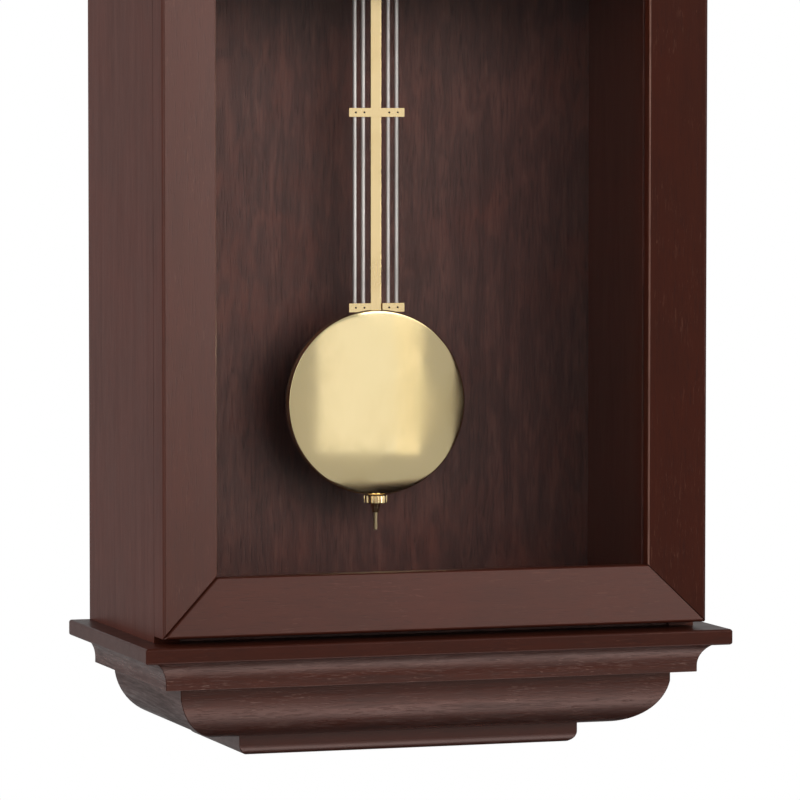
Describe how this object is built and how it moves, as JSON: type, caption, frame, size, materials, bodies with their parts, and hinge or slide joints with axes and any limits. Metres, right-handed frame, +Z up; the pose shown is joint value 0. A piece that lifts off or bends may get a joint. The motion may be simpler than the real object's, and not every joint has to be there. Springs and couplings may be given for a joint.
{
  "type": "chiming wall clock",
  "caption": "Tall glazed wooden wall clock case with stacked mouldings, a square dial with hands, a quartz chime movement and a swinging grid pendulum behind a hinged door.",
  "frame": {"origin": "centre of the keyhole hanger's round hole, in the plane of the wall", "axes": "+Z up, +Y back into the wall, +X to the viewer's right, so the door faces -Y"},
  "size_m": [0.3472, 0.17, 0.805],
  "materials": {
    "case_wood": "satin",
    "inner_wood": "matte",
    "brass": "polished",
    "bob_brass": "satin brushed",
    "steel": "polished",
    "glass": "clear",
    "dial": "matte",
    "hands": "satin",
    "black_plastic": "matte",
    "gear_plastic": "satin",
    "copper_wire": "satin",
    "circuit": "satin",
    "cell": "satin"
  },
  "bodies": {
    "case": {"side_left": "case_wood", "side_right": "case_wood", "back_boards": "inner_wood", "access_panel": "inner_wood", "back_screws": "steel", "end_boards": "inner_wood", "base_ledge": "case_wood", "base_cove": "case_wood", "base_ovolo": "case_wood", "base_plinth": "case_wood", "crown_ledge": "case_wood", "crown_cove": "case_wood", "crown_ovolo": "case_wood", "crown_cap": "case_wood", "hanging_rail": "inner_wood", "hanger_plate": "steel", "hinge_case_leaves": "brass", "hinge_pins": "brass", "catch_body": "black_plastic", "dial_cleats": "inner_wood", "dial_board": "inner_wood", "dial_plate": "dial", "dial_bezel": "brass", "bushing_nut": "brass", "movement_front": "black_plastic", "movement_rear": "black_plastic", "circuit_board": "circuit", "coils": "copper_wire", "motor_stator": "steel", "batteries": "cell", "speaker": "black_plastic", "drive_housing": "black_plastic", "drive_pivot": "steel"},
    "door": {"door_stile_left": "case_wood", "door_stile_right": "case_wood", "door_rail_top": "case_wood", "door_rail_bottom": "case_wood", "door_glass": "glass", "glass_beads": "inner_wood", "hinge_door_leaves": "brass", "strike_plate": "steel"},
    "pendulum": {"swing_lever": "gear_plastic", "pendulum_strip": "brass", "grid_rods": "steel", "grid_bars": "brass", "rating_screw": "brass"},
    "bob": {"bob_shell": "bob_brass", "bob_back": "bob_brass"},
    "rating_nut": {"rating_nut": "brass"},
    "minute_hand": {"minute_hand": "hands", "minute_cannon": "brass"},
    "hour_hand": {"hour_hand": "hands", "hour_wheel": "gear_plastic"},
    "minute_wheel": {"minute_wheel": "gear_plastic"},
    "setting_knob": {"setting_knob": "gear_plastic"},
    "centre_wheel": {"centre_wheel": "gear_plastic"},
    "third_wheel": {"third_wheel": "gear_plastic"},
    "fourth_wheel": {"fourth_wheel": "gear_plastic"},
    "rotor": {"rotor": "cell"},
    "volume_slider": {"volume_slider": "gear_plastic"}
  },
  "joints": [
    {"name": "door_hinge", "type": "hinge", "parent": "case", "child": "door", "pos_m": [0.1637, -0.1405, -0.297], "axis": [0, 0, 1], "range_deg": [0, 115]},
    {"name": "pendulum_swing", "type": "hinge", "parent": "case", "child": "pendulum", "pos_m": [0, -0.043, -0.016], "axis": [0, 1, 0], "range_deg": [-4, 4]},
    {"name": "bob_slide", "type": "slide", "parent": "pendulum", "child": "bob", "axis": [0, 0, 1], "range_m": [-0.0042, 0]},
    {"name": "nut_turn", "type": "hinge", "parent": "bob", "child": "rating_nut", "pos_m": [0, -0.043, -0.5612], "axis": [0, 0, 1], "range_deg": [-2165, 5]},
    {"name": "minute_turn", "type": "hinge", "parent": "case", "child": "minute_hand", "pos_m": [0, -0.12, -0.1287], "axis": [0, 1, 0], "continuous": true},
    {"name": "hour_turn", "type": "hinge", "parent": "case", "child": "hour_hand", "pos_m": [0, -0.12, -0.1287], "axis": [0, 1, 0], "continuous": true},
    {"name": "minute_wheel_turn", "type": "hinge", "parent": "case", "child": "minute_wheel", "pos_m": [-0.01579, -0.12, -0.13445], "axis": [0, 1, 0], "continuous": true},
    {"name": "setting_turn", "type": "hinge", "parent": "case", "child": "setting_knob", "pos_m": [-0.03157, -0.12, -0.14019], "axis": [0, 1, 0], "continuous": true},
    {"name": "fourth_turn", "type": "hinge", "parent": "case", "child": "fourth_wheel", "pos_m": [0.03424, -0.12, -0.10542], "axis": [0, 1, 0], "continuous": true},
    {"name": "rotor_turn", "type": "hinge", "parent": "case", "child": "rotor", "pos_m": [0.03966, -0.12, -0.12031], "axis": [0, 1, 0], "continuous": true},
    {"name": "third_turn", "type": "hinge", "parent": "case", "child": "third_wheel", "pos_m": [0.01344, -0.12, -0.10542], "axis": [0, 1, 0], "continuous": true},
    {"name": "centre_turn", "type": "hinge", "parent": "case", "child": "centre_wheel", "pos_m": [0, -0.12, -0.1287], "axis": [0, 1, 0], "continuous": true},
    {"name": "volume_move", "type": "slide", "parent": "case", "child": "volume_slider", "axis": [1, 0, 0], "range_m": [-0.005, 0.005]}
  ],
  "couplings": [
    {"joint": "nut_turn", "follows": "bob_slide", "rad_per_m": 8976},
    {"joint": "hour_turn", "follows": "minute_turn", "ratio": 0.083333},
    {"joint": "minute_wheel_turn", "follows": "minute_turn", "ratio": -0.33333},
    {"joint": "setting_turn", "follows": "minute_turn", "ratio": 1},
    {"joint": "rotor_turn", "follows": "fourth_turn", "ratio": -10},
    {"joint": "third_turn", "follows": "fourth_turn", "ratio": -0.083333},
    {"joint": "centre_turn", "follows": "fourth_turn", "ratio": 0.0055556}
  ]
}
